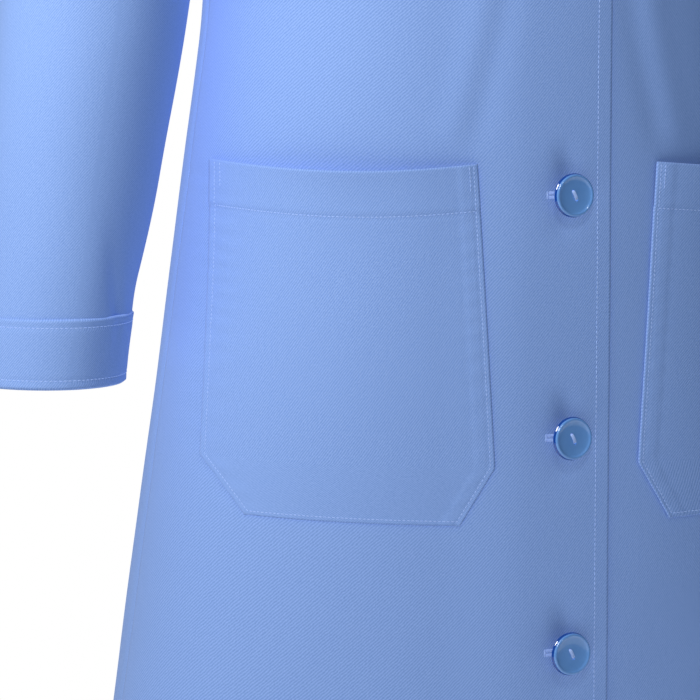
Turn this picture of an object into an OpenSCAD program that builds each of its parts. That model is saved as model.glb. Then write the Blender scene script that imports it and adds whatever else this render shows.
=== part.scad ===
// Lab coat: notched-lapel, A-line, two patch pockets, buttoned cuffs.
// The origin is the inside top of the hanger loop at the centre back neck.
// The coat hangs down along -Z and its front faces -Y.

/* [Body] */
// Length from the hanger loop to the hem
coat_length = 1020; // [960:5:1080]
// Half width of the body at the hem
hem_half = 236; // [225:1:245]
// Half width of the body at the waist
waist_half = 157; // [155:1:159]
// Depth of the front, from the side seam plane to the centre front
front_depth = 140; // [135:1:145]
// Depth of the back at the hem, from the side seam plane
hem_back_depth = 182; // [170:1:195]
// Thickness of a sewn layer of cloth
cloth = 1.6; // [1.2:0.1:1.8]

/* [Front closure] */
// Distance that each front reaches past the centre
overlap = 22; // [20:1:24]
// Height that the right front rides over the left front
front_lift = 2.6; // [2.4:0.1:3]
// Height where the lapels break, below the loop
break_drop = 250; // [248:1:252]

/* [Buttons] */
// Diameter of a button
button_d = 23; // [20:0.5:25]
// Thickness of a button at its rim
button_t = 4.2; // [3.6:0.1:4.6]
// Diameter of each of the two sewing holes
hole_d = 2.4; // [2:0.1:2.6]

/* [Pockets] */
// Height of the pocket mouth, below the loop
pocket_drop = 514; // [508:1:520]
// Height of a pocket
pocket_h = 188; // [182:1:194]
// Room between a pocket and the front at its fullest
pocket_room = 8.5; // [8:0.5:10]

/* [Sleeves] */
// Sleeve hem, below the loop
sleeve_drop = 631; // [625:1:637]
// Height of the cuff
cuff_h = 34; // [30:1:36]
// Elbow height, below the loop
elbow_drop = 350; // [345:1:355]

/* [Hidden] */
$fn = 48;

CLOTH_BLUE = [0.55, 0.67, 0.88];
BUTTON_BLUE = [0.28, 0.47, 0.75];
THREAD_BLUE = [0.62, 0.74, 0.93];
LABEL_WHITE = [0.92, 0.93, 0.95];

// The plane of the side seams and the squareness of the body's rings
mid_y = -62;
ring_power = 2.3;
// Levels down the body
waist_z = -428;
underarm_z = -240;
shoulder_z = -58;
neck_z = -14;
break_z = -break_drop;
leaf_z = break_z - 4;
hem_z = -coat_length;

// Half width, front depth and back depth of the body's ring at each level
HALF_WIDTH = [
  [hem_z, hem_half], [waist_z, waist_half], [-330, 158], [underarm_z, 162], [-150, 186],
  [-90, 194], [shoulder_z, 190], [-45, 165], [-32, 130], [-22, 98], [neck_z, 79]
];
FRONT_DEPTH = [
  [underarm_z, front_depth], [-150, 125], [-90, 105], [shoulder_z, 88], [-45, 80],
  [-32, 72], [-22, 64], [neck_z, 58]
];
BACK_DEPTH = [
  [hem_z, hem_back_depth], [waist_z, 96], [-330, 98], [underarm_z, 106], [-150, 108],
  [-90, 98], [shoulder_z, 88], [-45, 82], [-32, 78], [-22, 73], [neck_z, 68]
];
SIDE = 89.9;

// The armhole is an oval cut in the side of the body
arm_mid_z = (shoulder_z + underarm_z) / 2;
arm_half_z = (shoulder_z - underarm_z) / 2;
arm_half_y = 62;

TOP_LEVELS = [neck_z, -22, -32, -45, shoulder_z, -62, -76, -100, -149, -198, -222, -236, underarm_z];
BODY_LEVELS = [for (i = [0 : 12]) leaf_z + (hem_z - leaf_z) * i / 12];

function clamp01(u) = max(0, min(1, u));
function ease(u) = let (c = clamp01(u)) c * c * (3 - 2 * c);
function mix(a, b, u) = a + (b - a) * u;
function spow(v, e) = sign(v) * pow(abs(v), e);

// A point on the body: th runs from 0 at the centre to 90 at the side,
// side is -1 on the front and 1 on the back, and off lifts it off the cloth
function skin(th, z, off, side) =
  let (
    a = lookup(z, HALF_WIDTH),
    b = lookup(z, side < 0 ? FRONT_DEPTH : BACK_DEPTH),
    e = 2 / ring_power,
    c = max(cos(th), 0),
    nx = spow(sin(th), 2 - e) / a,
    ny = pow(c, 2 - e) / b,
    n = norm([nx, ny])
  )
  [a * spow(sin(th), e) + off * nx / n, mid_y + side * (b * pow(c, e) + off * ny / n), z];

// The angle at which the ring at z has a given x, or a given distance from the side seam plane
function th_at_x(x, z) = sign(x) * asin(pow(min(1, abs(x) / lookup(z, HALF_WIDTH)), ring_power / 2));
function th_at_y(h, z, side) =
  acos(pow(min(1, h / lookup(z, side < 0 ? FRONT_DEPTH : BACK_DEPTH)), ring_power / 2));
function arm_half(z) = arm_half_y * sqrt(max(0, 1 - pow((z - arm_mid_z) / arm_half_z, 2)));
function outer_th(z, side) = min(SIDE, th_at_y(arm_half(z), z, side));

// How far the right front is lifted to pass over the left front
function lift(x) = front_lift * ease((x + 40) / 16);

// A closed sheet between two grids of points of the same size
module sheet_solid(outer, inner, flip) {
  n = len(outer);
  m = len(outer[0]);
  k = n * m;
  function at(i, j) = i * m + j;
  function quad(a, b, c, d) = [[a, b, c], [a, c, d]];
  tris = [
    for (i = [0 : n - 2], j = [0 : m - 2]) each concat(
      quad(at(i, j), at(i + 1, j), at(i + 1, j + 1), at(i, j + 1)),
      quad(k + at(i, j), k + at(i, j + 1), k + at(i + 1, j + 1), k + at(i + 1, j))
    ),
    for (i = [0 : n - 2]) each concat(
      quad(at(i + 1, 0), at(i, 0), k + at(i, 0), k + at(i + 1, 0)),
      quad(at(i, m - 1), at(i + 1, m - 1), k + at(i + 1, m - 1), k + at(i, m - 1))
    ),
    for (j = [0 : m - 2]) each concat(
      quad(at(0, j), at(0, j + 1), k + at(0, j + 1), k + at(0, j)),
      quad(at(n - 1, j + 1), at(n - 1, j), k + at(n - 1, j), k + at(n - 1, j + 1))
    )
  ];
  points = concat([for (row = outer) each row], [for (row = inner) each row]);
  polyhedron(points, [for (t = tris) flip ? [t[2], t[1], t[0]] : t], convexity = 8);
}

// A closed tube wall between two stacks of rings
module tube_solid(outer, inner, flip) {
  n = len(outer);
  m = len(outer[0]);
  k = n * m;
  function at(i, j) = i * m + j % m;
  function quad(a, b, c, d) = [[a, b, c], [a, c, d]];
  tris = [
    for (i = [0 : n - 2], j = [0 : m - 1]) each concat(
      quad(at(i, j), at(i + 1, j), at(i + 1, j + 1), at(i, j + 1)),
      quad(k + at(i, j), k + at(i, j + 1), k + at(i + 1, j + 1), k + at(i + 1, j))
    ),
    for (j = [0 : m - 1]) each concat(
      quad(at(0, j), at(0, j + 1), k + at(0, j + 1), k + at(0, j)),
      quad(at(n - 1, j + 1), at(n - 1, j), k + at(n - 1, j), k + at(n - 1, j + 1))
    )
  ];
  points = concat([for (row = outer) each row], [for (row = inner) each row]);
  polyhedron(points, [for (t = tris) flip ? [t[2], t[1], t[0]] : t], convexity = 8);
}

// Back: two panels joined at the centre back seam
CENTRE_GAP = 0.25;
module back_panel(s) {
  levels = concat(TOP_LEVELS, [for (i = [0 : 12]) underarm_z + (hem_z - underarm_z) * (i + 1) / 13]);
  function grid(off) = [
    for (z = levels) [
      for (j = [0 : 9])
        skin(s * mix(th_at_x(CENTRE_GAP + 0.2, z), outer_th(z, 1), j / 9), z, off, 1)
    ]
  ];
  color(CLOTH_BLUE) sheet_solid(grid(0), grid(-cloth), s < 0);
}
module back_right() { back_panel(-1); }
module back_left() { back_panel(1); }

// The lapel roll line on each front, from the break up to the neck
roll_top_x = 62;
function roll_x(z) = mix(overlap, -roll_top_x, clamp01((z - break_z) / (-25 - break_z)));

// The line where a front's moving part ends: it runs round the outside of the pocket
FOLD_TH = [[hem_z, 62], [-750, 62], [-700, 73], [-500, 84.5], [-440, 62], [leaf_z, 58]];
fold_gap = 0.35;

// Fixed part of each front: the chest, the shoulder and the strip by the side seam
module front_upper(s) {
  function inner_th(z) = z > break_z - 1 ? -th_at_x(roll_x(z), z) : lookup(z, FOLD_TH) + fold_gap;
  levels = concat(TOP_LEVELS, [break_z, break_z - 1.2], [for (i = [1 : 12]) BODY_LEVELS[i]]);
  function grid(off) = [
    for (z = levels) [
      for (j = [0 : 9])
        let (
          th = mix(inner_th(z), outer_th(z, -1), j / 9),
          flat = skin(s * th, z, 0, -1)
        )
        skin(s * th, z, off + (s < 0 ? lift(flat[0]) : 0), -1)
    ]
  ];
  color(CLOTH_BLUE) sheet_solid(grid(0), grid(-cloth), s > 0);
}
module front_right_upper() { front_upper(-1); }
module front_left_upper() { front_upper(1); }

// Moving part of each front, from the break to the hem
button_levels = [-275, -402.5, -530, -657, -771];
slot_h = 4;
slot_reach = 12;
band_x = 14.8;
module front_strip(s, ths) {
  function grid(off) = [
    for (z = BODY_LEVELS) [
      for (th = ths(z))
        let (flat = skin(s * th, z, 0, -1))
        skin(s * th, z, off + (s < 0 ? lift(flat[0]) : 0), -1)
    ]
  ];
  color(CLOTH_BLUE) sheet_solid(grid(0), grid(-cloth), s > 0);
}
// Angles across a front from the line at 40 mm to the fold
function leaf_ths(z) = [
  for (j = [0 : 10]) mix(th_at_x(40, z), lookup(z, FOLD_TH) - fold_gap, j / 10)
];
module front_right() {
  front_strip(-1, function (z) concat([th_at_x(band_x + 0.3, z), th_at_x(24, z)], leaf_ths(z)));
}
module front_left() {
  front_strip(1, function (z) concat([-th_at_x(overlap, z), 0, th_at_x(24, z)], leaf_ths(z)));
}
// The band down the right front's edge, with its buttonholes: it gives way to let the buttons through
module front_band_right() {
  difference() {
    front_strip(-1, function (z) [-th_at_x(overlap, z), 0, th_at_x(band_x, z)]);
    for (z = button_levels) {
      translate([-slot_reach, mid_y - front_depth - 20, z - slot_h / 2])
        cube([slot_reach + 3, 40, slot_h]);
    }
  }
}

// Lapels: the turned-back top of each front
LAPEL_EDGE = [[break_z, 20], [-112, -112], [-98, -100], [-64, -74]];
lapel_clear = 1.6;
module lapel(s) {
  low = s < 0 ? break_z + 6 : break_z + 44;
  top = -64;
  function inner_x(z) = s < 0 ? -roll_x(z) : max(-roll_x(z), roll_x(z) + 4);
  levels = [low, low + 30, -170, -140, -112, -98, -82, top];
  function grid(off) = [
    for (z = levels) [
      for (j = [0 : 5])
        let (
          u = j / 5,
          x = mix(inner_x(z), -lookup(z, LAPEL_EDGE), u),
          th = th_at_x(x, z),
          up = s < 0 ? lift(-x) : 0
        )
        skin(s * th, z, off + up + lapel_clear, -1)
    ]
  ];
  color(CLOTH_BLUE) sheet_solid(grid(1.4), grid(0), s < 0);
}
module lapel_right() { lapel(-1); }
module lapel_left() { lapel(1); }

// Collar: the stand rises inside the neck, rolls over and falls outside
collar_front_th = 42;
COLLAR_STEPS = 30;
FALL_STEPS = [0.25, 0.4, 0.5, 0.6, 0.7, 0.8, 0.9, 1];
function collar_turn(j) = mix(-(180 - collar_front_th), 180 - collar_front_th, j / COLLAR_STEPS);
COLLAR_TOP = [[0, 20], [60, 17], [90, 12], [120, 4], [180 - collar_front_th, -3]];
stand_z = neck_z + 0.6;
COLLAR_EDGE = [[0, -58], [45, -42], [70, -32], [90, -27], [110, -40], [180 - collar_front_th, -86]];
function around(turn, z, off) =
  abs(turn) <= 90 ? skin(turn, z, off, 1) : skin(sign(turn) * (180 - abs(turn)), z, off, -1);
module collar() {
  function profile(turn, out) =
    let (
      top = lookup(abs(turn), COLLAR_TOP),
      edge = lookup(abs(turn), COLLAR_EDGE),
      t = out ? 0.7 : -0.7
    )
    concat(
      [
        around(turn, stand_z, -3.2 - t),
        around(turn, mix(stand_z, top, 0.6), -3.1 - t),
        around(turn, top - 2 + t, -2.2 - t),
        around(turn, top + t, 1.8),
        around(turn, top - 4, 5.4 + t)
      ],
      [for (f = FALL_STEPS) around(turn, mix(top, edge, f), 6.4 + t)]
    );
  color(CLOTH_BLUE) sheet_solid(
    [for (j = [0 : COLLAR_STEPS]) profile(collar_turn(j), true)],
    [for (j = [0 : COLLAR_STEPS]) profile(collar_turn(j), false)],
    false
  );
}

// A patch lying inside the back neck
module inside_patch(half_x, top, low, off, thick, n) {
  function grid(o) = [
    for (z = [top, mix(top, low, 0.33), mix(top, low, 0.67), low]) [
      for (j = [0 : n])
        let (th = th_at_x(half_x, z))
        skin(mix(-th, th, j / n), z, o, 1)
    ]
  ];
  sheet_solid(grid(off), grid(off - thick), false);
}
module back_neck_facing() { color(CLOTH_BLUE) inside_patch(72, -23, -82, -2.4, 1.2, 12); }
module size_label() { color(LABEL_WHITE) inside_patch(22, -34, -60, -5.2, 0.6, 4); }

// Hanger loop: a narrow tape arch with the hook's place under its top
loop_half = 24;
loop_drop = 20;
loop_tape = 1.4;
module hanger_loop() {
  function arch(grow) = [
    for (t = [0 : 9 : 180]) [(loop_half + grow) * cos(t), (loop_drop + grow) * sin(t) - loop_drop]
  ];
  color(CLOTH_BLUE)
    translate([0, 0.1, 0])
      rotate([90, 0, 0])
        linear_extrude(height = 4.6)
          polygon(concat(arch(loop_tape), [for (i = [20 : -1 : 0]) arch(0)[i]]));
}

// Patch pockets, sewn on three sides, with cut lower corners
pocket_top_z = -pocket_drop;
pocket_low_z = pocket_top_z - pocket_h;
corner_z = pocket_low_z + 30;
POCKET_IN = [[pocket_low_z, 58], [corner_z, 40], [pocket_top_z, 49]];
POCKET_OUT = [[pocket_low_z, 155], [corner_z, 176], [pocket_top_z, 166.6]];
module pocket(s) {
  levels = [for (i = [0 : 5]) mix(pocket_top_z, corner_z, i / 5)];
  rows = concat(levels, [corner_z - 12, pocket_low_z]);
  function grid(off) = [
    for (i = [0 : len(rows) - 1]) [
      for (j = [0 : 10])
        let (
          z = rows[i],
          u = j / 10,
          th = mix(th_at_x(lookup(z, POCKET_IN), z), th_at_x(lookup(z, POCKET_OUT), z), u),
          down = clamp01((pocket_top_z - z) / pocket_h),
          room = pocket_room * pow(sin(180 * u), 0.6) * (1 - pow(down, 4)),
          dip = i == 0 ? 3.5 * sin(180 * u) : 0
        )
        skin(s * th, z - dip, 0.4 + room + off, -1)
    ]
  ];
  color(CLOTH_BLUE) sheet_solid(grid(1.2), grid(0), s > 0);
}
module pocket_right() { pocket(-1); }
module pocket_left() { pocket(1); }

// Sleeves: centre line and half sizes at each level
sleeve_z = -sleeve_drop;
elbow_z = -elbow_drop;
cuff_z = sleeve_z + cuff_h;
head_z = -262;
SLEEVE_X = [[sleeve_z, 255], [waist_z, 225], [elbow_z, 220], [head_z, 222]];
SLEEVE_Y = [[sleeve_z, -92], [elbow_z, -80], [head_z, -70]];
SLEEVE_RX = [[sleeve_z, 44], [cuff_z, 46], [waist_z, 52], [elbow_z, 54], [head_z, 57]];
SLEEVE_RY = [[sleeve_z, 48], [cuff_z, 50], [waist_z, 58], [elbow_z, 62], [head_z, 68]];
ring_n = 16;
function ring_turns() = [for (j = [0 : ring_n - 1]) 360 * j / ring_n];
function sleeve_point(s, turn, z, grow) = [
  s * (lookup(z, SLEEVE_X) + (lookup(z, SLEEVE_RX) + grow) * sin(turn)),
  lookup(z, SLEEVE_Y) - (lookup(z, SLEEVE_RY) + grow) * cos(turn),
  z
];
function arm_point(s, turn, grow) =
  let (
    z = arm_mid_z + (arm_half_z + grow) * sin(turn),
    side = cos(turn) >= 0 ? -1 : 1,
    h = abs(cos(turn)) * arm_half_y,
    p = skin(th_at_y(min(h, lookup(z, FRONT_DEPTH)), z, side), z, 0, side)
  )
  [s * (p[0] + 1.4), mid_y + side * (h + grow * abs(cos(turn))), z];
function cap_point(s, turn, t, grow) =
  let (
    a = arm_point(s, turn, grow),
    b = sleeve_point(s, turn, head_z, grow),
    swell = sin(180 * t) * max(0, sin(turn))
  )
  mix(a, b, t) + [s * 12 * swell, 0, 12 * swell];
module sleeve_cap(s) {
  function stack(grow) =
    [for (t = [0, 0.12, 0.3, 0.5, 0.75, 1]) [for (turn = ring_turns()) cap_point(s, turn, t, grow)]];
  color(CLOTH_BLUE) tube_solid(stack(0), stack(-cloth), s > 0);
}
module upper_sleeve(s) {
  levels = [head_z - 0.5, mix(head_z, elbow_z, 0.5), elbow_z + 0.5];
  function stack(grow) =
    [for (z = levels) [for (turn = ring_turns()) sleeve_point(s, turn, z, grow)]];
  color(CLOTH_BLUE) tube_solid(stack(0), stack(-cloth), s > 0);
}
module lower_sleeve(s) {
  levels = [elbow_z - 0.5, -400, waist_z, -480, -540, cuff_z + 0.4];
  function stack(grow) =
    [for (z = levels) [for (turn = ring_turns()) sleeve_point(s, turn, z, grow)]];
  color(CLOTH_BLUE) tube_solid(stack(0), stack(-cloth), s > 0);
}
module cuff(s) {
  levels = [cuff_z - 0.2, mix(cuff_z, sleeve_z, 0.5), sleeve_z];
  function stack(grow) =
    [for (z = levels) [for (turn = ring_turns()) sleeve_point(s, turn, z, grow)]];
  color(CLOTH_BLUE) tube_solid(stack(1.2), stack(-1.4), s > 0);
}
module sleeve_cap_right() { sleeve_cap(-1); }
module sleeve_cap_left() { sleeve_cap(1); }
module upper_sleeve_right() { upper_sleeve(-1); }
module upper_sleeve_left() { upper_sleeve(1); }
module lower_sleeve_right() { lower_sleeve(-1); }
module lower_sleeve_left() { lower_sleeve(1); }
module cuff_right() { cuff(-1); }
module cuff_left() { cuff(1); }

// Cuff flap: the loose end of the cuff, with rounded corners, hinged where it is sewn on
flap_turn = 96;
flap_tip_turn = 142;
flap_z = (cuff_z + sleeve_z) / 2;
cuff_button_turn = 132;
FLAP_TIP = [[-16.2, -9], [-14, -4], [-9, 0], [9, 0], [14, -4], [16.2, -9]];
module cuff_flap(s) {
  function grid(grow) = [
    for (dz = [16.2, 14, 9, 0, -9, -14, -16.2]) [
      for (j = [0 : 6])
        let (turn = mix(flap_turn, flap_tip_turn + lookup(dz, FLAP_TIP), j / 6))
        sleeve_point(s, turn, flap_z + dz, grow)
    ]
  ];
  color(CLOTH_BLUE) difference() {
    sheet_solid(grid(3.4), grid(2), s < 0);
    cuff_button_place(s) translate([0, 0, -4]) cube([4, 14, 10], center = true);
  }
}
module cuff_flap_right() { cuff_flap(-1); }
module cuff_flap_left() { cuff_flap(1); }

// Button: a turned disc with a raised rim, a fisheye hollow and two sewing holes
rim_w = 2.6;
dish = 1.3;
hole_pitch = 4.6;
module button() {
  r = button_d / 2;
  color(BUTTON_BLUE) difference() {
    rotate_extrude()
      polygon([
        [0, 0], [r - 3, 0], [r - 0.8, 1], [r, 2.4], [r - 0.5, button_t - 0.5],
        [r - 1.4, button_t], [r - rim_w, button_t - 0.4], [r - rim_w - 2, button_t - dish],
        [0, button_t - dish]
      ]);
    for (k = [-1, 1]) {
      translate([0, k * hole_pitch / 2, -1]) cylinder(d = hole_d, h = button_t + 2);
    }
  }
}
// Sewing thread: a wound shank under the button, a strand up each hole and a bar across
thread_d = 1.6;
module thread(shank) {
  color(THREAD_BLUE) {
    translate([0, 0, -shank]) cylinder(d = 2.6, h = shank - 0.4);
    for (k = [-1, 1]) {
      translate([0, k * hole_pitch / 2, -0.7])
        cylinder(d = thread_d, h = button_t - dish + 1.2);
    }
    translate([0, 0, -0.6]) cube([1.4, hole_pitch + 1.4, 1.1], center = true);
    translate([0, 0, button_t - dish + 0.7]) cube([1.4, hole_pitch + 1.4, 0.9], center = true);
  }
}
button_gap = 1.2;
front_shank = front_lift + button_gap - 0.2;
module at_front(i) {
  translate([0, mid_y - front_depth - front_lift - button_gap, button_levels[i - 1]])
    rotate([90, 0, 0]) rotate([0, 0, 25]) children();
}
module front_button_1() { at_front(1) button(); }
module front_button_2() { at_front(2) button(); }
module front_button_3() { at_front(3) button(); }
module front_button_4() { at_front(4) button(); }
module front_button_5() { at_front(5) button(); }
module front_thread_1() { at_front(1) thread(front_shank); }
module front_thread_2() { at_front(2) thread(front_shank); }
module front_thread_3() { at_front(3) thread(front_shank); }
module front_thread_4() { at_front(4) thread(front_shank); }
module front_thread_5() { at_front(5) thread(front_shank); }

// Cuff buttons sit on the flap, square to the cuff
cuff_shank = 2 + button_gap;
module cuff_button_place(s) {
  p = sleeve_point(s, cuff_button_turn, flap_z, 3.4 + button_gap);
  nx = s * sin(cuff_button_turn) / lookup(flap_z, SLEEVE_RX);
  ny = -cos(cuff_button_turn) / lookup(flap_z, SLEEVE_RY);
  translate(p) rotate([0, 90, atan2(ny, nx)]) children();
}
module cuff_button_right() { cuff_button_place(-1) scale(0.65) button(); }
module cuff_button_left() { cuff_button_place(1) scale(0.65) button(); }
module cuff_thread_right() { cuff_button_place(-1) scale(0.65) thread(cuff_shank / 0.65); }
module cuff_thread_left() { cuff_button_place(1) scale(0.65) thread(cuff_shank / 0.65); }

back_right();
back_left();
front_right_upper();
front_left_upper();
front_right();
front_left();
front_band_right();
lapel_right();
lapel_left();
collar();
back_neck_facing();
hanger_loop();
size_label();
pocket_right();
pocket_left();
sleeve_cap_right();
sleeve_cap_left();
upper_sleeve_right();
lower_sleeve_right();
cuff_right();
cuff_flap_right();
cuff_button_right();
cuff_thread_right();
upper_sleeve_left();
lower_sleeve_left();
cuff_left();
cuff_flap_left();
cuff_button_left();
cuff_thread_left();
front_button_1();
front_button_2();
front_button_3();
front_button_4();
front_button_5();
front_thread_1();
front_thread_2();
front_thread_3();
front_thread_4();
front_thread_5();
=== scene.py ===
import math

import bpy
import numpy as np
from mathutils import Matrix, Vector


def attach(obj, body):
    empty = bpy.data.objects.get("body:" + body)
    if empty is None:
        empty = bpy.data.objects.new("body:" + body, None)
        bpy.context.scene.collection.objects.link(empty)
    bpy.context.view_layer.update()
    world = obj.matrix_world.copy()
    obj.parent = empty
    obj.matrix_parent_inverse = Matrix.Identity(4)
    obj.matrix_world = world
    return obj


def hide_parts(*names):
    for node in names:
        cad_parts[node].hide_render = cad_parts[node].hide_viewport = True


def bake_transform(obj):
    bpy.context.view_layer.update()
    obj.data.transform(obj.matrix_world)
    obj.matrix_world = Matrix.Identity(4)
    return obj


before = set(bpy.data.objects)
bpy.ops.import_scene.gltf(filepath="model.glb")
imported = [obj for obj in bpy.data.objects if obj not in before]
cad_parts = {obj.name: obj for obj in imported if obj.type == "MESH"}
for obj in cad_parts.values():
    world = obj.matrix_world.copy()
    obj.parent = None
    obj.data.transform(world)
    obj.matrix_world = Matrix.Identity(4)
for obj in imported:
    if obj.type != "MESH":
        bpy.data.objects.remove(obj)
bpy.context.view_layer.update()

# ---------------------------------------------------------------- dimensions, in millimetres
MM = 0.001
MID_Y = -62.0            # plane of the side seams
RING_POWER = 2.3         # squareness of the body's rings
FRONT_DEPTH_FULL = 140.0
HEM_Z = -1020.0
NECK_Z = -14.0
SHOULDER_Z = -58.0
UNDERARM_Z = -240.0
BREAK_Z = -250.0
OVERLAP = 22.0
FRONT_LIFT = 2.6
ROLL_TOP_X = 62.0
CLOTH = 1.5
BUTTON_LEVELS = [-275, -402.5, -530, -657, -771]

HALF_WIDTH = [
    (-1120, 251.8), (-1020, 238.5), (-428, 159.5), (-330, 160), (-240, 162), (-150, 186),
    (-90, 194), (-58, 190), (-45, 165), (-32, 130), (-22, 98), (-14, 79), (0, 74),
]
FRONT_DEPTH = [(-240, 140), (-150, 125), (-90, 105), (-58, 88), (-45, 80), (-32, 72), (-22, 64), (-14, 58)]
BACK_DEPTH = [
    (-1120, 196.5), (-1020, 182), (-428, 96), (-330, 98), (-240, 106), (-150, 108), (-90, 98),
    (-58, 88), (-45, 82), (-32, 78), (-22, 73), (-14, 68),
]
ARM_MID_Z = (SHOULDER_Z + UNDERARM_Z) / 2
ARM_HALF_Z = (SHOULDER_Z - UNDERARM_Z) / 2
ARM_HALF_Y = 62.0

# Sleeve: centre line and half sizes
HEAD_Z, CUFF_Z, SLEEVE_Z = -262.0, -597.0, -631.0
SLEEVE_X = [(-631, 255), (-428, 225), (-350, 220), (-262, 222)]
SLEEVE_Y = [(-631, -92), (-350, -80), (-262, -70)]
SLEEVE_RX = [(-631, 44), (-597, 46), (-428, 52), (-350, 54), (-262, 57)]
SLEEVE_TRIM = [(-631, 5.2), (-597, 6.5), (-584, 7.6), (-532, 5.2), (-428, 3.1), (-350, 1.5), (-262, 0)]
SLEEVE_RY = [(-631, 48), (-597, 50), (-428, 58), (-350, 62), (-262, 68)]

# Pocket
POCKET_TOP, POCKET_LOW, CORNER_Z = -514.0, -702.0, -672.0
POCKET_IN = [(-702, 58), (-672, 40), (-514, 49)]
POCKET_OUT = [(-702, 161), (-672, 178.5), (-514, 167)]
POCKET_HEM = 25.0

FRONT, BACK = -1, 1


# ---------------------------------------------------------------- the shape of the body
def ease(u):
    c = np.clip(u, 0, 1)
    return c * c * (3 - 2 * c)


def bell(x, width):
    return np.exp(-(np.asarray(x, float) / width) ** 2)


def level(table, z, blur=None):
    """The table's value at z, with its corners rounded."""
    z = np.asarray(z, float)
    keys, values = np.array(sorted(table), float).T
    reach = np.interp(z, [-130, -50], [24, 3]) if blur is None else blur
    return np.mean([np.interp(z + o * reach, keys, values) for o in np.linspace(-1, 1, 9)], axis=0)


def depth(z, side):
    return level(FRONT_DEPTH if side == FRONT else BACK_DEPTH, z)


def power(v, e):
    return np.sign(v) * np.abs(v) ** e


def skin(th, z, off=0.0, side=FRONT):
    """A point of the body: th is 0 at the centre and 90 degrees at the side seam."""
    th, z = np.broadcast_arrays(np.radians(th), np.asarray(z, float))
    a, b, e = level(HALF_WIDTH, z), depth(z, side), 2 / RING_POWER
    sin, cos = np.sin(th), np.maximum(np.cos(th), 0)
    nx, ny = power(sin, 2 - e) / a, power(cos, 2 - e) / b
    n = np.hypot(nx, ny)
    x = a * power(sin, e) + off * nx / n
    y = MID_Y + side * (b * power(cos, e) + off * ny / n)
    return np.stack([x, y, z + 0 * x], axis=-1)


def th_at_x(x, z):
    r = np.clip(np.abs(x) / level(HALF_WIDTH, z), 0, 1)
    return np.sign(x) * np.degrees(np.arcsin(r ** (RING_POWER / 2)))


def outer_th(z, side):
    """Where a panel ends: the side seam, or the armhole above it."""
    h = ARM_HALF_Y * np.sqrt(np.maximum(0, 1 - ((z - ARM_MID_Z) / ARM_HALF_Z) ** 2))
    r = np.clip(h / depth(z, side), 0, 1)
    return np.minimum(89.97, np.degrees(np.arccos(r ** (RING_POWER / 2))))


def roll_x(z):
    """The lapel's fold line, from the break up to the neck."""
    t = np.clip((z - BREAK_Z) / (-25 - BREAK_Z), 0, 1)
    return OVERLAP + (-ROLL_TOP_X - OVERLAP) * t + 7 * np.sin(np.pi * t)


def waves(p, seed, wave, upright):
    """Soft unevenness of cloth: a few long waves in space, drawn out along z where upright is above 1."""
    rng = np.random.default_rng(seed)
    total = 0
    for _ in range(10):
        turn, dip, phase = rng.uniform(0, 6.28), rng.uniform(-1, 1), rng.uniform(0, 6.28)
        k = 2 * math.pi / (wave * rng.uniform(0.6, 1.7))
        flat = math.sqrt(1 - dip * dip)
        run = p[..., 0] * math.cos(turn) * flat + p[..., 1] * math.sin(turn) * flat
        run = run + p[..., 2] * dip / upright
        total = total + np.sin(k * run + phase)
    return total / 4.5


def flutes(turn, z):
    """The skirt's soft folds: they start below the pockets and grow to the hem."""
    grow = 6.5 * ease((-z - 700) / 330) ** 1.3
    t = np.radians(turn)
    return grow * (np.cos(5 * t + 0.5) * 0.55 + np.cos(9 * t + 1.9) * 0.45 - 0.35)


DART_X = [(-514, 59), (-428, 38), (-330, 34), (-200, 44)]


def front_drape(p, s):
    x, z = p[..., 0], p[..., 2]
    # waist dart: a soft ridge that runs down to the inner end of the pocket mouth
    q = -s * (x - s * level(DART_X, z, 30))
    length = ease((-z - 215) / 90) * ease((z + 514) / 22)
    off = length * (0.8 * bell(q + 6, 9) - 0.7 * bell(q - 5, 8))
    # fullness of the chest
    off = off + 7 * bell(x - s * 82, 62) * bell(z + 205, 85)
    # the cloth is drawn in at each button and dips just above it
    for bz in BUTTON_LEVELS:
        r = np.hypot(x * 0.8, z - bz)
        off = off - 1.2 * bell(r, 12)
        off = off - 1.7 * bell(x + 1 + 0.25 * (z - bz - 15), 6.5) * bell(z - bz - 15, 10)
        off = off - 0.8 * bell(x + 4, 7) * bell(z - bz + 15, 8)
    # the stitching of the pocket's outer edge puckers the cloth beside it
    edge = np.abs(x) - np.interp(z, *np.array(POCKET_OUT, float).T)
    on = ease((z - POCKET_LOW) / 20) * ease((POCKET_TOP - z) / 8)
    off = off - 0.4 * on * bell(edge - 3, 4) * np.sin(z * 0.27 + 2 * np.sin(z / 29)) ** 2
    return off


def drape(p, th, s, side):
    """How far the cloth of the body stands off its plain shape, in mm."""
    x, z = p[..., 0], p[..., 2]
    turn = th if side == FRONT else np.sign(th) * (180 - np.abs(th))
    calm = ease((-z - 60) / 120)
    off = flutes(turn, z) + calm * (0.6 * waves(p, 5, 150, 2.0) + 0.14 * waves(p, 11, 42, 2.5))
    # side seam
    off = off - 0.7 * bell((90 - np.abs(th)) * 2.6, 2.0) * calm
    if side == FRONT:
        return off + front_drape(p, s)
    off = off + 5 * bell(np.abs(x) - 78, 60) * bell(z + 150, 90)
    off = off - 4 * bell(x, 46) * bell(z + 400, 110)
    return off - 0.8 * bell(x, 2.2) * calm


def body(th, z, side, off=0.0, s=1):
    p = skin(th, z, 0, side)
    up = FRONT_LIFT * ease((p[..., 0] + 70) / 48) if side == FRONT and s < 0 else 0
    return skin(th, z, off + up + drape(p, th, s, side), side)


def front_at(s, x, z, off=0.0):
    """The point of a front's outer face at a given x and level."""
    return body(th_at_x(x, z), z, FRONT, off, s)


# ---------------------------------------------------------------- materials
def new_material(name):
    mat = bpy.data.materials.new(name)
    mat.use_nodes = True
    tree = mat.node_tree
    return mat, tree, tree.nodes["Principled BSDF"]


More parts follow.
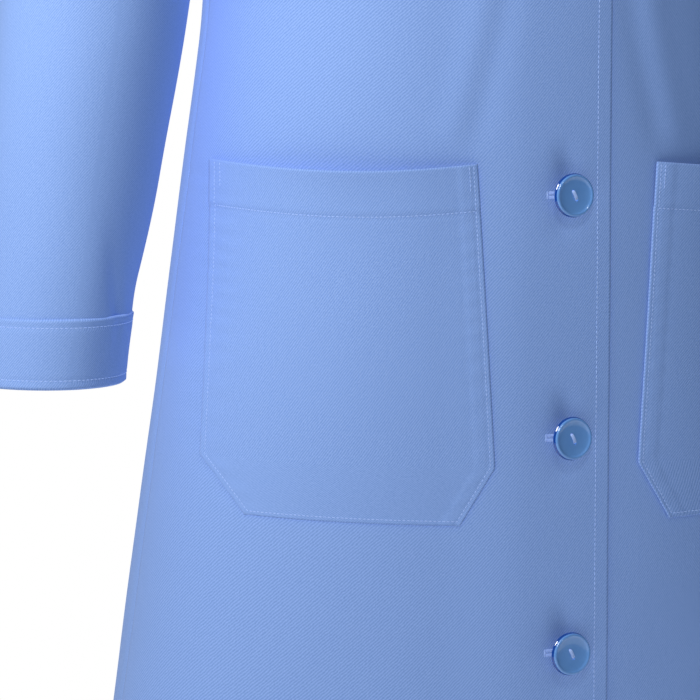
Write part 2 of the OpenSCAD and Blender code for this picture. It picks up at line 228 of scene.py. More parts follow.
def math_node(tree, operation, a, b=None):
    node = tree.nodes.new("ShaderNodeMath")
    node.operation = operation
    for socket, value in zip(node.inputs, (a, b)):
        if isinstance(value, (int, float)):
            socket.default_value = value
        elif value is not None:
            tree.links.new(value, socket)
    return node.outputs[0]


def twill_material(name, dark, light, pitch):
    mat, tree, shader = new_material(name)
    links = tree.links
    uv = tree.nodes.new("ShaderNodeUVMap")
    uv.uv_map = "cloth"
    split = tree.nodes.new("ShaderNodeSeparateXYZ")
    links.new(uv.outputs["UV"], split.inputs[0])
    wobble = tree.nodes.new("ShaderNodeTexNoise")
    wobble.inputs["Scale"].default_value = 260.0
    links.new(uv.outputs["UV"], wobble.inputs["Vector"])
    diagonal = math_node(tree, "SUBTRACT", split.outputs["X"],
                         math_node(tree, "MULTIPLY", split.outputs["Y"], 0.8))
    swayed = math_node(tree, "ADD", diagonal, math_node(tree, "MULTIPLY", wobble.outputs["Fac"], pitch * 0.9))
    wale = math_node(tree, "SINE", math_node(tree, "MULTIPLY", swayed, 2 * math.pi / (pitch * 1.28)))
    weft = tree.nodes.new("ShaderNodeTexNoise")
    weft.inputs["Scale"].default_value = 900.0
    links.new(uv.outputs["UV"], weft.inputs["Vector"])
    slub = tree.nodes.new("ShaderNodeTexNoise")
    slub.inputs["Scale"].default_value = 160.0
    stretch = tree.nodes.new("ShaderNodeMapping")
    stretch.inputs["Scale"].default_value = (6.0, 0.5, 1.0)
    links.new(uv.outputs["UV"], stretch.inputs["Vector"])
    links.new(stretch.outputs[0], slub.inputs["Vector"])
    grain = math_node(tree, "ADD", math_node(tree, "MULTIPLY", wale, 0.34),
                      math_node(tree, "MULTIPLY", weft.outputs["Fac"], 0.80))
    tone = math_node(tree, "ADD", grain, math_node(tree, "MULTIPLY", slub.outputs["Fac"], 0.20))
    mix = tree.nodes.new("ShaderNodeMix")
    mix.data_type = "RGBA"
    mix.inputs["A"].default_value = (*dark, 1)
    mix.inputs["B"].default_value = (*light, 1)
    links.new(tone, mix.inputs["Factor"])
    links.new(mix.outputs["Result"], shader.inputs["Base Color"])
    bump = tree.nodes.new("ShaderNodeBump")
    bump.inputs["Strength"].default_value = 0.22
    bump.inputs["Distance"].default_value = 0.0002
    links.new(grain, bump.inputs["Height"])
    links.new(bump.outputs["Normal"], shader.inputs["Normal"])
    shader.inputs["Roughness"].default_value = 0.78
    shader.inputs["Sheen Weight"].default_value = 0.12
    shader.inputs["Sheen Roughness"].default_value = 0.45
    shader.inputs["Specular IOR Level"].default_value = 0.25
    return mat


def plain_material(name, low, high, scale, roughness, coat=0.0):
    mat, tree, shader = new_material(name)
    place = tree.nodes.new("ShaderNodeTexCoord")
    noise = tree.nodes.new("ShaderNodeTexNoise")
    noise.inputs["Scale"].default_value = scale
    tree.links.new(place.outputs["Object"], noise.inputs["Vector"])
    mix = tree.nodes.new("ShaderNodeMix")
    mix.data_type = "RGBA"
    mix.inputs["A"].default_value = (*low, 1)
    mix.inputs["B"].default_value = (*high, 1)
    tree.links.new(noise.outputs["Fac"], mix.inputs["Factor"])
    tree.links.new(mix.outputs["Result"], shader.inputs["Base Color"])
    shader.inputs["Roughness"].default_value = roughness
    shader.inputs["Coat Weight"].default_value = coat
    shader.inputs["Coat Roughness"].default_value = 0.06
    return mat


TWILL = twill_material("twill", (0.172, 0.300, 0.655), (0.322, 0.472, 0.845), 0.00115)
THREAD = plain_material("thread", (0.34, 0.49, 0.86), (0.46, 0.61, 0.95), 900.0, 0.7)
BUTTON_FACE = plain_material("button_face", (0.115, 0.29, 0.66), (0.155, 0.35, 0.74), 160.0, 0.2, 1.0)
# The rim and side of a button are the same plastic as its face, given a darker, deeper blue: painted shade on
# the rim.
BUTTON_SIDE_PAINTED_SHADE = plain_material("button_side", (0.0, 0.040, 0.27), (0.0, 0.060, 0.34), 160.0, 0.12, 1.0)
LABEL = plain_material("label", (0.80, 0.81, 0.83), (0.88, 0.89, 0.91), 700.0, 0.5)


# ---------------------------------------------------------------- mesh building
def mesh_object(name, points, faces, material, uvs=None):
    mesh = bpy.data.meshes.new(name)
    mesh.from_pydata([tuple(p) for p in np.asarray(points) * MM], [], [tuple(f) for f in faces])
    if uvs is not None:
        layer = mesh.uv_layers.new(name="cloth")
        loops = np.empty(len(mesh.loops), int)
        mesh.loops.foreach_get("vertex_index", loops)
        layer.data.foreach_set("uv", (np.asarray(uvs)[loops] * MM).ravel())
    mesh.polygons.foreach_set("use_smooth", [True] * len(mesh.polygons))
    mesh.materials.append(material)
    mesh.update()
    obj = bpy.data.objects.new(name, mesh)
    bpy.context.scene.collection.objects.link(obj)
    return obj


def unit(v):
    return v / np.maximum(np.linalg.norm(v, axis=-1, keepdims=True), 1e-9)


def grid_normals(grid, closed):
    if closed:
        across = np.roll(grid, -1, axis=1) - np.roll(grid, 1, axis=1)
    else:
        across = np.gradient(grid, axis=1)
    return unit(np.cross(np.gradient(grid, axis=0), across))


def lengths(grid):
    """Distances run along the rows and down the columns: the cloth's own flat coordinates."""
    u = np.zeros(grid.shape[:2])
    v = np.zeros(grid.shape[:2])
    u[:, 1:] = np.cumsum(np.linalg.norm(np.diff(grid, axis=1), axis=-1), axis=1)
    v[1:, :] = np.cumsum(np.linalg.norm(np.diff(grid, axis=0), axis=-1), axis=0)
    return u, v


def rim(edge, after, ring, k, flip):
    after_ring = np.roll(ring, -1)
    first = np.stack([edge, after, after_ring, ring], axis=-1)
    second = np.stack([ring, after_ring, after + k, edge + k], axis=-1)
    faces = np.concatenate([first, second])
    return faces[:, ::-1] if flip else faces


def sheet_mesh(name, grid, outward, thick=CLOTH, closed=False, material=None, joined=None):
    """A sheet of cloth: an outer face on a grid of points, an inner face and rounded edges."""
    grid = np.asarray(grid, float)
    normals = grid_normals(grid, closed) * outward
    rows, cols = grid.shape[:2]
    u, v = lengths(grid)
    outer, inner = grid.reshape(-1, 3), (grid - normals * thick).reshape(-1, 3)
    flat = np.stack([u * outward, -v], axis=-1).reshape(-1, 2)
    k = rows * cols
    index = np.arange(k).reshape(rows, cols)
    wide = np.concatenate([index, index[:, :1]], axis=1) if closed else index
    quads = np.stack([wide[:-1, :-1], wide[1:, :-1], wide[1:, 1:], wide[:-1, 1:]], axis=-1).reshape(-1, 4)
    points, uvs, faces, made = [outer, inner], [flat, flat], [quads, quads[:, ::-1] + k], 2 * k
    inside = grid.copy()
    inside[0], inside[-1] = grid[1], grid[-2]
    if closed:
        loops = [(index[end], end < 0, 0 if end == joined else 0.45) for end in (0, -1)]
    else:
        inside[:, 0], inside[:, -1] = inside[:, 1], inside[:, -2]
        around = [index[0, :-1], index[:-1, -1], index[-1, :0:-1], index[:0:-1, 0]]
        loops = [(np.concatenate(around), False, 0.45)]
    inside = inside.reshape(-1, 3)
    for edge, flip, bulge in loops:
        mid = (outer[edge] + inner[edge]) / 2
        mid = mid + unit(outer[edge] - inside[edge]) * thick * bulge
        ring = made + np.arange(len(edge))
        points.append(mid)
        uvs.append(flat[edge])
        faces.append(rim(edge, np.roll(edge, -1), ring, k, flip))
        made += len(edge)
    faces = np.concatenate(faces)
    if outward < 0:
        faces = faces[:, ::-1]
    obj = mesh_object(name, np.concatenate(points), faces, material or TWILL, np.concatenate(uvs))
    area = np.linalg.norm(np.cross(np.diff(grid, axis=0)[:, :-1], np.diff(grid, axis=1)[:-1]), axis=-1).sum()
    round_trip = np.linalg.norm(grid[:, 0] - grid[:, -1], axis=-1) if closed else 0
    width, length = float((u[:, -1] + round_trip).max()) * MM, float(v.max()) * MM
    obj["flat"] = [width, length, min(float(area) * MM * MM, width * length)]
    return obj


def declare(obj):
    return obj


# one stitch: a short plump loop of thread, along x, with z away from the cloth
STITCH_RING, STITCH_CUTS = 6, 5


def stitch_shape():
    pts, faces = [], []
    for i in range(STITCH_CUTS):
        a = math.pi * i / (STITCH_CUTS - 1)
        swell = max(0.12, math.sin(a)) ** 0.6
        for j in range(STITCH_RING):
            b = 2 * math.pi * j / STITCH_RING
            pts.append((-math.cos(a), math.cos(b) * swell, math.sin(b) * swell + 0.6 * math.sin(a) - 0.5))
    for i in range(STITCH_CUTS - 1):
        for j in range(STITCH_RING):
            k = (j + 1) % STITCH_RING
            p, q = i * STITCH_RING, (i + 1) * STITCH_RING
            faces.append((p + k, p + j, q + j, q + k))
    return np.array(pts), np.array(faces)


def along(points, normals, pitch):
    """Evenly spaced places on a line, each with its direction and its way out of the cloth."""
    run = np.concatenate([[0], np.cumsum(np.linalg.norm(np.diff(points, axis=0), axis=-1))])
    count = max(2, int(run[-1] / pitch))
    where = (np.arange(count) + 0.5) * run[-1] / count

    def pick(a, t):
        return np.stack([np.interp(t, run, a[:, k]) for k in range(3)], axis=-1)
    ways = unit(pick(points, where + 0.6) - pick(points, where - 0.6))
    return pick(points, where), ways, unit(pick(normals, where))


def stitch_mesh(name, batches, material=None):
    """Stitches as one mesh. A batch is (places, directions, ways out, length, thickness)."""
    shape, faces = stitch_shape()
    all_points, all_faces, made = [], [], 0
    for p, t, n, length, width in batches:
        side = np.cross(n, t)
        pts = (p[:, None] + shape[None, :, :1] * length / 2 * t[:, None]
               + shape[None, :, 1:2] * width / 2 * side[:, None]
               + shape[None, :, 2:] * width / 2 * n[:, None])
        all_points.append(pts.reshape(-1, 3))
        steps = (made + np.arange(len(p)) * len(shape))[:, None, None]
        all_faces.append((faces[None] + steps).reshape(-1, 4))
        made += len(p) * len(shape)
    return mesh_object(name, np.concatenate(all_points), np.concatenate(all_faces), material or THREAD)


def row_of(points, normals, pitch=2.3, length=1.7, width=0.5):
    return (*along(points, normals, pitch), length, width)


def on_front(fn, line, gap=0.0, step=1.0):
    """Points and normals along a line of (x, z) corners on a surface fn(x, z)."""
    line = np.asarray(line, float)
    run = np.concatenate([[0], np.cumsum(np.linalg.norm(np.diff(line, axis=0), axis=-1))])
    t = np.linspace(0, run[-1], max(4, int(run[-1] / step)))
    x, z = np.interp(t, run, line[:, 0]), np.interp(t, run, line[:, 1])
    p = fn(x, z)
    n = unit(np.cross(fn(x, z - 0.5) - fn(x, z + 0.5), fn(x + 0.5, z) - fn(x - 0.5, z)))
    return p + n * gap, n


# ---------------------------------------------------------------- body panels
def columns(total, count, margin=0.8):
    return np.concatenate([[0], np.linspace(margin, total - margin, count - 2), [total]])


def across(lo, hi, z, side, count):
    """Angles evenly spaced along the cloth between lo and hi, row by row."""
    fine = np.linspace(0, 1, 200)
    th = lo[:, None] + (hi - lo)[:, None] * fine
    p = skin(th, z[:, None], 0, side)
    steps = np.linalg.norm(np.diff(p, axis=1), axis=-1)
    run = np.concatenate([np.zeros((len(z), 1)), np.cumsum(steps, axis=1)], axis=1)
    return np.stack([np.interp(columns(r[-1], count), r, t) for r, t in zip(run, th)])


def panel_levels():
    return np.concatenate([np.linspace(-14.6, -60, 30), np.linspace(-62, HEM_Z + 0.8, 320), [HEM_Z]])


def front_cloth(s):
    z = panel_levels()
    th = across(th_at_x(-s * roll_x(z), z), s * outer_th(z, FRONT), z, FRONT, 120)
    return sheet_mesh("front_%s_cloth" % SIDES[s], body(th, z[:, None], FRONT, 0, s), s)


def back_cloth(s):
    z = panel_levels()
    th = across(th_at_x(s * 0.25 + 0 * z, z), s * outer_th(z, BACK), z, BACK, 90)
    return sheet_mesh("back_%s_cloth" % SIDES[s], body(th, z[:, None], BACK, 0, s), -s)


SIDES = {-1: "right", 1: "left"}


def front_blend(obj):
    """Bakes the piece's placement into its mesh; nothing here bends the front open."""
    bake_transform(obj)


# ---------------------------------------------------------------- pockets
def pocket_at(s, x, z, off=1.5):
    x_in = np.interp(z, *np.array(POCKET_IN, float).T)
    x_out = np.interp(z, *np.array(POCKET_OUT, float).T)
    u = np.clip((np.abs(x) - x_in) / (x_out - x_in), 0, 1)
    down = np.clip((POCKET_TOP - z) / (POCKET_TOP - POCKET_LOW), 0, 1)
    arch = np.sin(np.pi * u)
    mouth = np.exp(-down * 188 / 26) * (0.45 + 0.55 * bell(u - 0.7, 0.26))
    room = arch ** 0.7 * (2.6 + 8.5 * mouth) * (1 - down ** 4)
    above = z - POCKET_TOP + POCKET_HEM
    hem = 0.6 * ease(above / 1.6) - 0.45 * bell(above - 1.2, 1.2)
    edge = np.minimum(np.abs(x) - x_in, x_out - np.abs(x))
    turned = 0.35 * ease((11 - edge) / 3) - 0.35 * bell(edge - 2.0, 1.0)
    pucker = 0.35 * bell(edge - 6, 5) * np.sin(z * 0.29 + 2 * np.sin(z / 23)) ** 2 * ease(down / 0.1)
    dip = 3.5 * arch * ease(1 - down * 1.6) - 3.4 * u * down ** 2
    return front_at(s, x, z - dip, off + room + hem + turned - pucker)


def pocket_cloth(s):
    z = np.concatenate([[POCKET_TOP], np.linspace(POCKET_TOP - 0.8, POCKET_LOW + 0.8, 118), [POCKET_LOW]])
    x_in = np.interp(z, *np.array(POCKET_IN, float).T)
    x_out = np.interp(z, *np.array(POCKET_OUT, float).T)
    x = np.stack([a + columns(b - a, 90) for a, b in zip(x_in, x_out)])
    return sheet_mesh("pocket_%s_cloth" % SIDES[s], pocket_at(s, s * x, z[:, None] + 0 * x), s, 1.3)


def inset(line, d):
    """The line of (x, z) corners moved sideways by d, with mitred corners."""
    line = np.asarray(line, float)
    way = unit(np.diff(line, axis=0))
    side = np.stack([-way[:, 1], way[:, 0]], axis=-1)
    out = [line[0] + side[0] * d]
    for a, b, p in zip(side[:-1], side[1:], line[1:-1]):
        out.append(p + (a + b) * d / (1 + a @ b))
    return np.array(out + [line[-1] + side[-1] * d])


def pocket_stitching(s):
    def fn(x, z):
        return pocket_at(s, x, z, 1.52)
    levels = [POCKET_LOW, CORNER_Z, POCKET_TOP - 0.4]
    outline = [(x, z) for (_, x), z in zip(POCKET_IN, levels)][::-1]
    outline += [(x, z) for (_, x), z in zip(POCKET_OUT, levels)]
    line = inset(outline, 2.0)
    batches = [row_of(*on_front(fn, line * (s, 1)))]
    level_z = POCKET_TOP - POCKET_HEM + 1.2
    ends = [np.interp(level_z, *np.array(t, float).T) for t in (POCKET_IN, POCKET_OUT)]
    batches.append(row_of(*on_front(fn, [(s * (ends[0] + 2), level_z), (s * (ends[1] - 2), level_z)])))
    for start, way in ((line[0], 1), (line[-1], -1)):
        bar = [(start[0] + way * 2.2, start[1]), (start[0] + way * 1.4, start[1] - 13)]
        batches.append(row_of(*on_front(fn, np.array(bar) * (s, 1)), 1.9, 1.7, 0.5))
    return stitch_mesh("pocket_%s_stitching" % SIDES[s], batches)


# ---------------------------------------------------------------- buttonholes and seams
def front_stitching(s):
    def fn(x, z):
        return front_at(s, x, z, 0.02)
    edge = -s * (OVERLAP - 7)
    batches = [row_of(*on_front(fn, [(edge, BREAK_Z - 4), (edge, HEM_Z + 2)], step=2.0), 2.6, 1.9, 0.5)]
    z = np.array([HEM_Z + 25.0])
    th = np.linspace(float(th_at_x(-s * 20, z)[0]), s * 89.0, 400)
    p = body(th, z, FRONT, 0.02, s)
    batches.append(row_of(p, unit(np.cross([0, 0, -s], np.gradient(p, axis=0))), 2.8, 2.0, 0.5))
    if s < 0:
        for level_z in BUTTON_LEVELS:
            batches += buttonhole(fn, level_z)
    return stitch_mesh("front_%s_stitching" % SIDES[s], batches)


def buttonhole(fn, z):
    """Close stitches square to the slit on both its sides, and a bar at each end."""
    batches = []
    for dz in (-1.15, 1.15):
        p, n = on_front(fn, [(-11.4, z + dz), (11, z + dz)])
        places, ways, outs = along(p, n, 0.62)
        batches.append((places, np.cross(outs, ways), outs, 2.1, 0.6))
    for x in (-12.0, 11.6):
        p, n = on_front(fn, [(x, z - 1.9), (x, z + 1.9)], step=0.5)
        places, ways, outs = along(p, n, 0.62)
        batches.append((places, np.cross(outs, ways), outs, 1.6, 0.6))
    return batches


def back_stitching(s):
    z = np.array([HEM_Z + 25.0])
    th = np.linspace(s * 1.0, s * 89.0, 400)
    p = body(th, z, BACK, 0.02, s)
    return stitch_mesh("back_%s_stitching" % SIDES[s],
                       [row_of(p, unit(np.cross([0, 0, s], np.gradient(p, axis=0))), 2.8, 2.0, 0.5)])


# ---------------------------------------------------------------- lapels and collar
LAPEL_EDGE = [(-250, 20), (-114, -114), (-84, -96), (-64, -88), (-45, -76), (-30, -66), (-24, -64)]
LAPEL_TOP = -24.0


def lapel_cloth(s):
    low = BREAK_Z + (5 if s < 0 else 38.5)
    z = np.concatenate([[low], np.linspace(low + 0.8, LAPEL_TOP - 0.8, 110), [LAPEL_TOP]])
    edge = np.interp(z, *np.array(LAPEL_EDGE, float).T)
    fold = roll_x(z) if s < 0 else np.minimum(roll_x(z), -roll_x(z) - 4)
    u = np.concatenate([[0], np.linspace(0.02, 0.985, 44), [1]])
    x, off = [], []
    for a, b in zip(fold, edge):
        wide = max(a - b, 2.0)
        run = u * (wide + 6)
        x.append(np.where(run < 6, a - 4 + run * 0.9, a + 1.4 - (run - 6) * (wide + 1.4) / wide))
        lifted = -2.6 + 5.4 * ease(run / 9)
        off.append(lifted + 1.2 * bell(run - 12, 9) * min(1, wide / 40) - 0.4 * ease((run - 20) / 40))
    x, off = np.array(x), np.array(off)
    if s > 0:
        off = np.maximum(off, 1.0)
    else:
        off = off + 2.2 * ease((u - 0.1) / 0.9)[None, :]
    zz = z[:, None] + 0 * x
    grid = front_at(s, -s * x, zz, off + 2.2)
    return sheet_mesh("lapel_%s_cloth" % SIDES[s], grid[::-1], s, 1.3)


COLLAR_TOP = [(0, 20), (60, 17), (90, 12), (120, 4), (138, -3)]
STAND_Z = NECK_Z + 0.6
COLLAR_EDGE = [(0, -60), (45, -47), (70, -40), (90, -42), (115, -60), (138, -78)]


def around(turn, z, off):
    th, side = (turn, BACK) if abs(turn) <= 90 else (math.copysign(180 - abs(turn), turn), FRONT)
    return body(np.array([th]), np.array([z]), side, off)[0]


def smooth_curve(points, count):
    """A rounded line through the points, evenly spaced."""
    pts = np.asarray(points, float)
    ends = np.concatenate([[2 * pts[0] - pts[1]], pts, [2 * pts[-1] - pts[-2]]])
    t = np.linspace(0, 1, 12, endpoint=False)[:, None]
    runs = []
    for a, b, c, d in zip(ends[:-3], ends[1:-2], ends[2:-1], ends[3:]):
        square, cube = 2 * a - 5 * b + 4 * c - d, 3 * b - a - 3 * c + d
        runs.append(0.5 * (2 * b + (c - a) * t + square * t ** 2 + cube * t ** 3))
    fine = np.concatenate(runs + [pts[-1:]])
    run = np.concatenate([[0], np.cumsum(np.linalg.norm(np.diff(fine, axis=0), axis=-1))])
    want = columns(run[-1], count, 0.6)
    return np.stack([np.interp(want, run, fine[:, k]) for k in range(3)], axis=-1)


def collar_line(turn):
    top, edge = float(level(COLLAR_TOP, abs(turn), 6)), float(level(COLLAR_EDGE, abs(turn), 5))
    stand = [(STAND_Z, -3.2), (STAND_Z * 0.4 + top * 0.6, -3.1), (top - 2, -2.2), (top + 0.4, 1.8)]
    stand.append((top - 3, 5.2))
    pts = [around(turn, z, off) for z, off in stand]
    swing = math.copysign(19, turn) * float(ease((abs(turn) - 60) / 78))
    for f in (0.2, 0.32, 0.45, 0.6, 0.75, 0.88, 1):
        off = 7.0 - 1.2 * f + 1.0 * math.sin(math.pi * f)
        pts.append(around(turn + swing * f, top + (edge - top) * f, off))
    return smooth_curve(pts, 44)


def collar_cloth():
    turns = np.concatenate([[-138], np.linspace(-137.3, 137.3, 150), [138]])
    return sheet_mesh("collar_cloth", np.stack([collar_line(t) for t in turns]), -1, 1.4)


def inside_patch(name, half_x, top, low, off, thick, material=None):
    z = np.concatenate([[top], np.linspace(top - 0.5, low + 0.5, 22), [low]])
    x = np.concatenate([[-half_x], np.linspace(-half_x + 0.5, half_x - 0.5, 50), [half_x]])
    th = np.stack([th_at_x(x, np.full_like(x, a)) for a in z])
    return sheet_mesh(name, body(th, z[:, None], BACK, off), 1, -thick, material=material)


def hanger_loop_tape():
    t = np.linspace(0, math.pi, 60)
    y = np.linspace(0.7, -4.1, 8)
    grid = np.array([[(24.9 * math.cos(a), b, 20.9 * math.sin(a) - 20) for b in y] for a in t])
    return sheet_mesh("hanger_loop_tape", grid, 1, 1.2)


# ---------------------------------------------------------------- sleeves
def sleeve_plain(s, turn, z, grow=0.0):
    t = np.radians(turn)
    trim = np.where(np.sin(t) < 0, level(SLEEVE_TRIM, z, 8), 0)
    x = level(SLEEVE_X, z, 25) + (level(SLEEVE_RX, z, 20) - trim + grow) * np.sin(t)
    y = level(SLEEVE_Y, z, 25) - (level(SLEEVE_RY, z, 20) + grow) * np.cos(t)
    return np.stack([s * x, y, z + 0 * x], axis=-1)


def sleeve_at(s, turn, z, grow=0.0):
    p = sleeve_plain(s, turn, z)
    q = p * (s, 1, 1)
    free = ease((z + 603) / 40)
    off = free * (1.3 * waves(q, 21, 105, 3.4) + 0.35 * waves(q, 27, 42, 2.4))
    # crumples at the inside of the elbow
    near = bell((turn + 60) % 360 - 60, 55)
    off = off + near * 1.8 * bell(z + 356, 46) * np.sin(z / 8.5 + 0.5 * np.sin(np.radians(turn) * 3))
    # the pleat beside the cuff
    off = off - 2.4 * bell(turn - 318 - (z + 597) * 0.5, 7) * bell(z + 600, 34)
    return sleeve_plain(s, turn, z, off + grow)


RING = 120


def arm_cloth(s):
    z = np.concatenate([[HEAD_Z], np.linspace(HEAD_Z - 0.8, CUFF_Z - 2, 150), [CUFF_Z - 3]])
    turn = np.arange(RING) * 360 / RING
    grid = sleeve_at(s, turn[None, :] + 0 * z[:, None], z[:, None] + 0 * turn)
    return sheet_mesh("sleeve_%s_cloth" % SIDES[s], grid, s, CLOTH, True, joined=0)


def cap_cloth(s):
    turn = np.arange(RING) * 360 / RING
    t = np.radians(turn)
    z = ARM_MID_Z + (ARM_HALF_Z - 0.6) * np.sin(t)
    h = np.abs(np.cos(t)) * (ARM_HALF_Y - 0.6)
    side = np.where(np.cos(t) >= 0, FRONT, BACK)
    a = np.empty((RING, 3))
    for i in range(RING):
        d = float(depth(z[i], side[i]))
        th = math.degrees(math.acos(min(1, min(h[i], d) / d) ** (RING_POWER / 2)))
        a[i] = skin(np.array([th]), z[i:i + 1], 0, side[i])[0]
    a[:, 0] = s * (a[:, 0] + 0.6)
    a[:, 1] = MID_Y + side * h
    b = sleeve_at(s, turn, np.full(RING, HEAD_Z))
    slope = unit(sleeve_at(s, turn, np.full(RING, HEAD_Z - 2)) - b)
    reach = np.linalg.norm(b - a, axis=-1, keepdims=True)
    up = np.sin(t)[:, None]
    away = [np.full((RING, 1), s * 0.75), 0.05 * np.cos(t)[:, None] * -1, -0.35 + 0.42 * up]
    m0 = reach * np.concatenate(away, axis=-1)
    m1 = reach * slope * 0.95
    rows = []
    centre = np.array([0, MID_Y, ARM_MID_Z])
    for d in (13.0, 6.0, 1.0):
        rows.append(a + [-s * d, 0, 0] - (a - centre) * (0, 1, 1) * 0.004 * d)
    for f in np.concatenate([np.linspace(0, 0.985, 52), [0.9995, 1]]):
        h0, h1 = 2 * f ** 3 - 3 * f ** 2 + 1, f ** 3 - 2 * f ** 2 + f
        h2, h3 = -2 * f ** 3 + 3 * f ** 2, f ** 3 - f ** 2
        rows.append(a * h0 + m0 * h1 + b * h2 + m1 * h3)
    return sheet_mesh("sleeve_cap_%s_cloth" % SIDES[s], np.array(rows), s, CLOTH, True, joined=-1)


def cuff_cloth(s):
    z = np.concatenate([[-595.6], np.linspace(-596.4, SLEEVE_Z + 1.2, 26), [SLEEVE_Z + 0.4]])
    turn = np.arange(RING) * 360 / RING
    zz = z[:, None] + 0 * turn
    grow = 1.2 - 0.3 * bell(zz - SLEEVE_Z - 4, 1.2) - 0.3 * bell(zz + 599, 1.2)
    grow = grow - 1.2 * bell(turn - 318, 5) * bell(zz + 600, 12)
    turns = turn[None, :] + 0 * zz
    grid = sleeve_plain(s, turns, zz, grow + 0.5 * waves(sleeve_plain(s, turns, zz), 33, 60, 1.5))
    return sheet_mesh("cuff_%s_cloth" % SIDES[s], grid, s, 2.6, True)


def cuff_stitching(s):
    batches = []
    turn = np.linspace(0, 360, 240)
    for z in (SLEEVE_Z + 4.2, -599.2):
        zz = np.full_like(turn, z)
        p = sleeve_plain(s, turn, zz, 1.25 + 0.5 * waves(sleeve_plain(s, turn, zz), 33, 60, 1.5) - 0.25)
        n = unit(sleeve_plain(s, turn, zz, 3) - sleeve_plain(s, turn, zz, 1))
        batches.append(row_of(p, n, 2.5, 1.8, 0.5))
    return stitch_mesh("cuff_%s_stitching" % SIDES[s], batches)


FLAP_Z, FLAP_TURN, FLAP_TIP_TURN, CUFF_BUTTON_TURN = -614.0, 96.0, 142.0, 132.0
FLAP_TIP = [(-16.2, -9), (-15.6, -6.5), (-14, -4), (-11.5, -1.6), (-9, 0),
            (9, 0), (11.5, -1.6), (14, -4), (15.6, -6.5), (16.2, -9)]


def flap_point(s, dz, turn):
    return sleeve_plain(s, turn, FLAP_Z + dz, 3.3)


def flap_cloth(s):
    dz = np.concatenate([[16.2], np.linspace(15.8, -15.8, 30), [-16.2]])
    tip = FLAP_TIP_TURN + np.interp(dz, *np.array(FLAP_TIP, float).T)
    turn = FLAP_TURN + (tip - FLAP_TURN)[:, None] * np.concatenate([[0], np.linspace(0.02, 0.98, 38), [1]])
    return sheet_mesh("cuff_flap_%s_cloth" % SIDES[s], flap_point(s, dz[:, None] + 0 * turn, turn), s, 1.4)


# ---------------------------------------------------------------- buttons
BUTTON_PROFILE = [
    (0, 0), (6, 0), (9.6, 0.35), (11.2, 1.1), (11.5, 1.7), (11.3, 2.3), (10.95, 2.6), (10.95, 2.9),
    (11.0, 3.3), (10.85, 3.8), (10.4, 4.15), (9.95, 4.2), (9.5, 4.0), (9.0, 3.6),
    (7.6, 3.25), (5, 3.0), (0, 2.9),
]
HOLE_PITCH, HOLE_D, BUTTON_TOP = 4.9, 1.7, 2.95


def lathe(name, profile, material, count=96):
    line = smooth_curve([(r, 0, z) for r, z in profile], 70)
    line[:, 0] = np.maximum(line[:, 0], 0)
    a = np.arange(count) * 2 * math.pi / count
    inner = line[1:-1]
    rings = np.stack([inner[:, :1] * np.cos(a), inner[:, :1] * np.sin(a), inner[:, 2:] + 0 * a], axis=-1)
    rows = len(rings)
    points = np.concatenate([rings.reshape(-1, 3), [(0, 0, line[0, 2]), (0, 0, line[-1, 2])]])
    index = np.arange(rows * count).reshape(rows, count)
    nxt = np.roll(index, -1, axis=1)
    faces = [tuple(f) for f in np.stack([index[:-1], nxt[:-1], nxt[1:], index[1:]], axis=-1).reshape(-1, 4)]
    faces += [(rows * count, nxt[0, j], index[0, j]) for j in range(count)]
    faces += [(rows * count + 1, index[-1, j], nxt[-1, j]) for j in range(count)]
    return mesh_object(name, points, faces, material)


def drilled_button():
    """The button's mesh: turned on a lathe, then drilled twice."""
    body_obj = lathe("button_blank", BUTTON_PROFILE, BUTTON_FACE)
    body_obj.data.materials.append(BUTTON_SIDE_PAINTED_SHADE)
    for k in (-1, 1):
        place = (0, k * HOLE_PITCH / 2 * MM, 0)
        bpy.ops.mesh.primitive_cylinder_add(vertices=28, radius=HOLE_D / 2 * MM, depth=0.02, location=place)
        drill = bpy.context.object
        cut = body_obj.modifiers.new("hole", "BOOLEAN")
        cut.object, cut.operation, cut.solver = drill, "DIFFERENCE", "EXACT"
    graph = bpy.context.evaluated_depsgraph_get()
    mesh = bpy.data.meshes.new_from_object(body_obj.evaluated_get(graph))
    for obj in [body_obj] + [m.object for m in body_obj.modifiers]:
        bpy.data.objects.remove(obj)
    mesh.materials.clear()
    mesh.materials.append(BUTTON_FACE)
    mesh.materials.append(BUTTON_SIDE_PAINTED_SHADE)
    for f in mesh.polygons:
        r, z = math.hypot(f.center.x, f.center.y) / MM, f.center.z / MM
        # faces of the rim and side take the second, darker material, which holds the painted shade
        f.material_index = 1 if z < 3.2 and r > 9.2 or r > 10.98 else 0
    mesh.set_sharp_from_angle(angle=math.radians(50))
    return mesh


def tube(path, radius, ring=8):
    path = np.asarray(path, float)
    way = unit(np.gradient(path, axis=0))
    side = unit(np.cross(way, [1.0, 0.02, 0.03]))
    other = np.cross(way, side)
    a = np.arange(ring) * 2 * math.pi / ring
    cos, sin = np.cos(a)[None, :, None], np.sin(a)[None, :, None]
    pts = path[:, None] + radius * (cos * side[:, None] + sin * other[:, None])
    n = len(path)
    index = np.arange(n * ring).reshape(n, ring)
    nxt = np.roll(index, -1, axis=1)
    faces = np.stack([index[:-1], nxt[:-1], nxt[1:], index[1:]], axis=-1).reshape(-1, 4)
    return pts.reshape(-1, 3), faces


